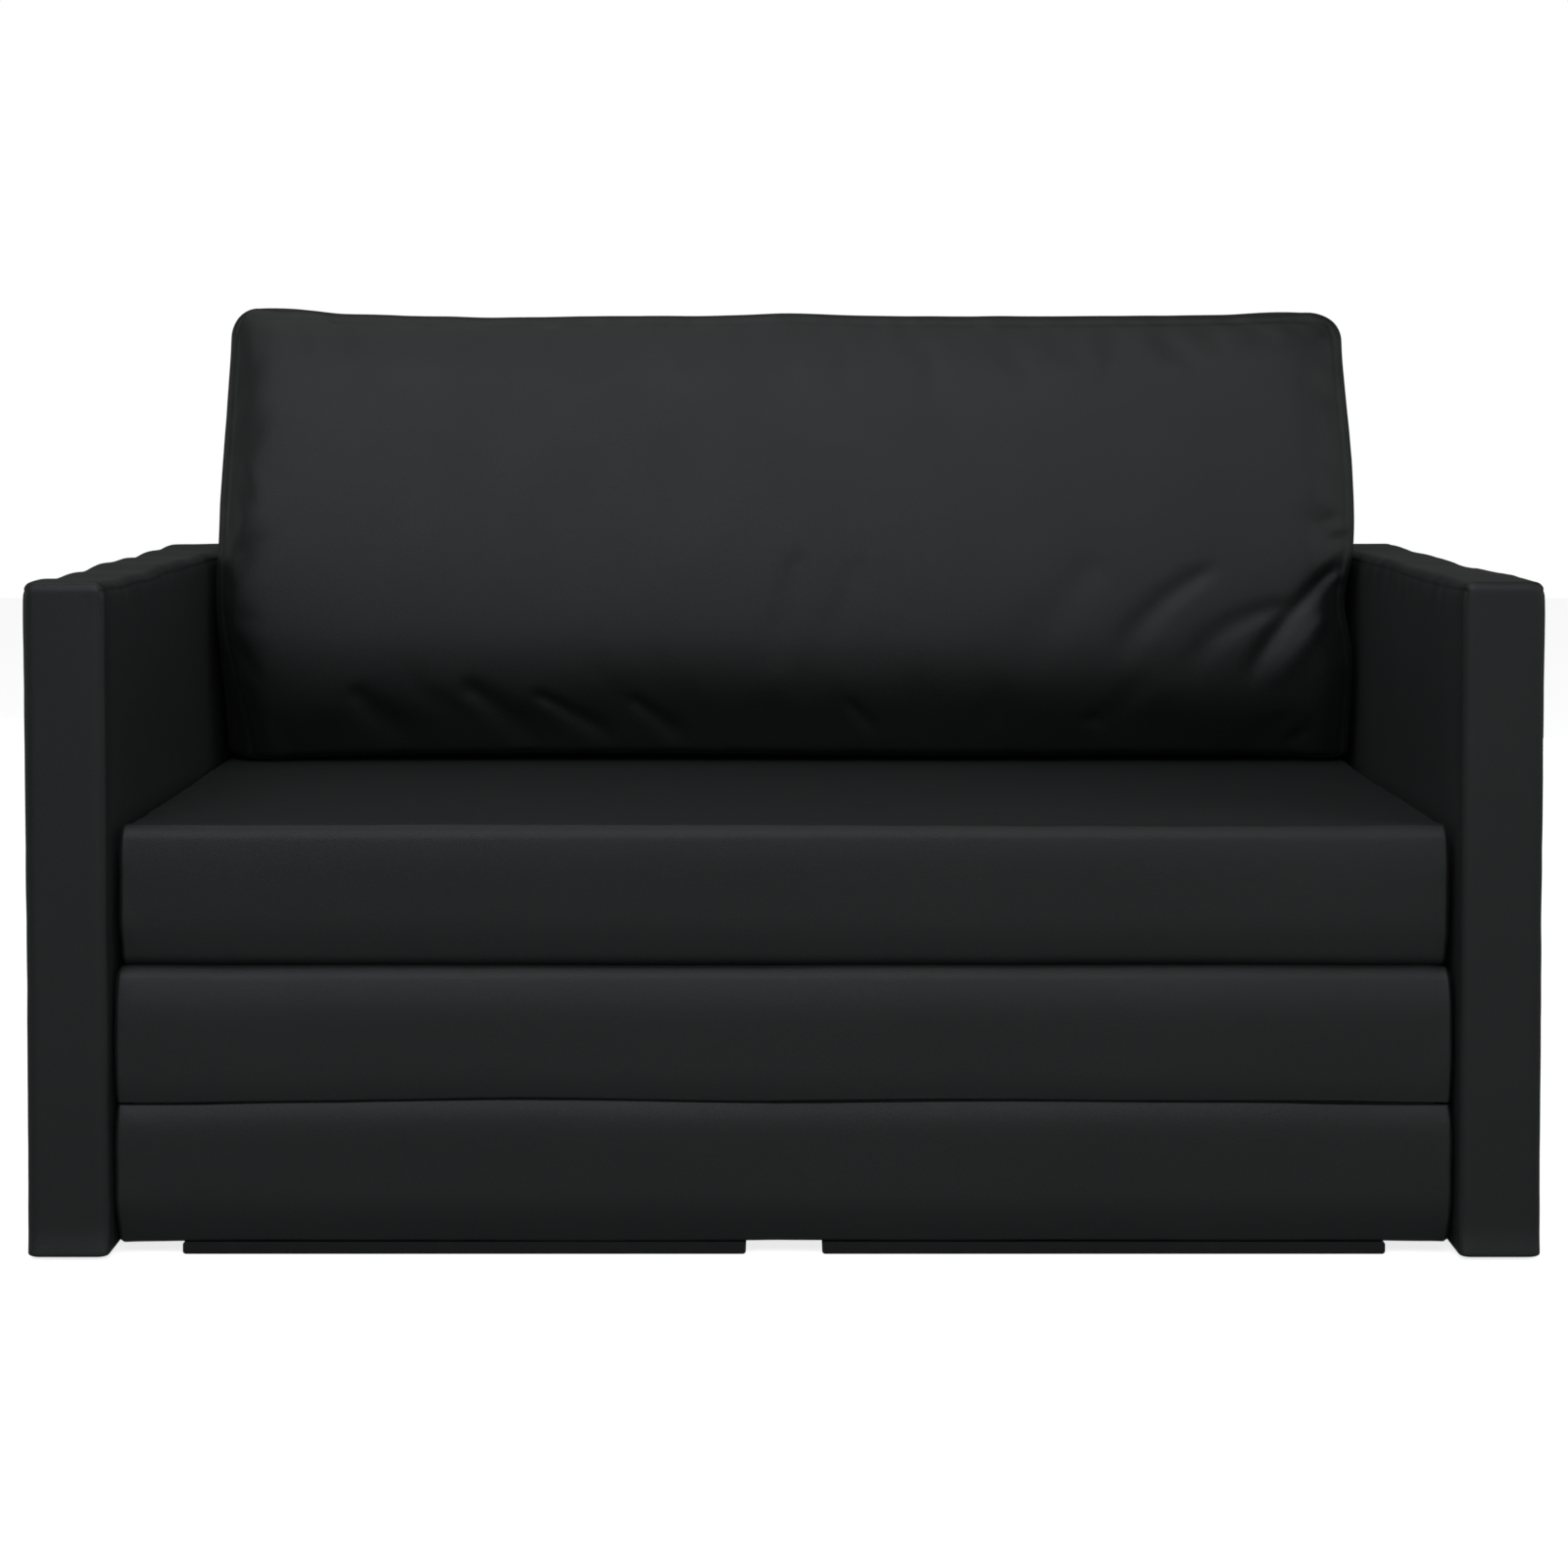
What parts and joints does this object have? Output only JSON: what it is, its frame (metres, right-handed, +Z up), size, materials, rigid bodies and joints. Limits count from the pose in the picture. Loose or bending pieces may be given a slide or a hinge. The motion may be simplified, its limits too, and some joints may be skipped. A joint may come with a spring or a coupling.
{
  "type": "futon sofa bed",
  "caption": "Black faux-leather sofa bed: slim upholstered arms and back, a mattress of hinged slabs that unfolds forward to the floor, and a loose back cushion.",
  "frame": {"origin": "on the floor at the centre of the footprint", "axes": "+Z up, +X towards the right arm seen from the front, the seat faces -Y"},
  "size_m": [1.22, 0.735, 0.773],
  "materials": {
    "leather_cover": "satin, fine grain",
    "foam": "open-cell polyurethane foam",
    "polyester_fill": "matte fibre",
    "timber": "planed pine, unfinished",
    "hardboard": "smooth pressed fibre",
    "base_board": "black laminate",
    "hinge_cloth": "woven tape",
    "hook_and_loop": "matte pile",
    "zinc_steel": "zinc plated",
    "yellow_zinc_steel": "yellow zinc plated",
    "glide_plastic": "matte",
    "zip_tape": "woven tape",
    "zip_metal": "black enamel"
  },
  "bodies": {
    "frame": {"left_arm_cover": "leather_cover", "left_arm_padding": "foam", "left_arm_outer_sheet": "hardboard", "left_arm_inner_sheet": "hardboard", "left_arm_front_post": "timber", "left_arm_rear_post": "timber", "left_arm_top_rail": "timber", "left_arm_middle_rail": "timber", "left_arm_bottom_rail": "timber", "right_arm_cover": "leather_cover", "right_arm_padding": "foam", "right_arm_outer_sheet": "hardboard", "right_arm_inner_sheet": "hardboard", "right_arm_front_post": "timber", "right_arm_rear_post": "timber", "right_arm_top_rail": "timber", "right_arm_middle_rail": "timber", "right_arm_bottom_rail": "timber", "back_cover": "leather_cover", "back_padding": "foam", "back_front_sheet": "hardboard", "back_rear_sheet": "hardboard", "back_left_post": "timber", "back_right_post": "timber", "back_top_rail": "timber", "back_bottom_rail": "timber", "back_centre_stile": "timber", "confirmat_screws": "zinc_steel", "connector_bolts": "zinc_steel", "bolt_washers": "zinc_steel", "tee_nuts": "zinc_steel", "glides": "glide_plastic", "left_base_board": "base_board", "right_base_board": "base_board", "hook_and_loop_strips": "hook_and_loop", "angle_brackets": "zinc_steel", "bracket_screws": "yellow_zinc_steel", "lower_slab_cover": "leather_cover", "lower_slab_core": "foam", "front_hinge_lower_leaf": "hinge_cloth"},
    "middle_slab": {"middle_slab_cover": "leather_cover", "middle_slab_core": "foam", "front_hinge_upper_leaf": "hinge_cloth", "rear_hinge_lower_leaf": "hinge_cloth"},
    "top_slab": {"top_slab_cover": "leather_cover", "top_slab_core": "foam", "rear_hinge_upper_leaf": "hinge_cloth"},
    "cushion": {"cushion_cover": "leather_cover", "cushion_filling": "polyester_fill", "cushion_zip_tape": "zip_tape"},
    "zip_slider": {"zip_slider": "zip_metal"}
  },
  "joints": [
    {"name": "fold_front", "type": "hinge", "parent": "frame", "child": "middle_slab", "pos_m": [0, -0.3595, 0.1235], "axis": [1, 0, 0], "range_deg": [0, 181]},
    {"name": "fold_rear", "type": "hinge", "parent": "middle_slab", "child": "top_slab", "pos_m": [0, 0.2995, 0.2345], "axis": [1, 0, 0], "range_deg": [-181, 0]},
    {"name": "cushion_lift", "type": "slide", "parent": "top_slab", "child": "cushion", "axis": [0, 0, 1], "range_m": [0, 0.25]},
    {"name": "zip_slide", "type": "slide", "parent": "cushion", "child": "zip_slider", "axis": [1, 0, 0], "range_m": [0, 0.9]}
  ],
  "couplings": [
    {"joint": "fold_rear", "follows": "fold_front", "ratio": -1}
  ]
}
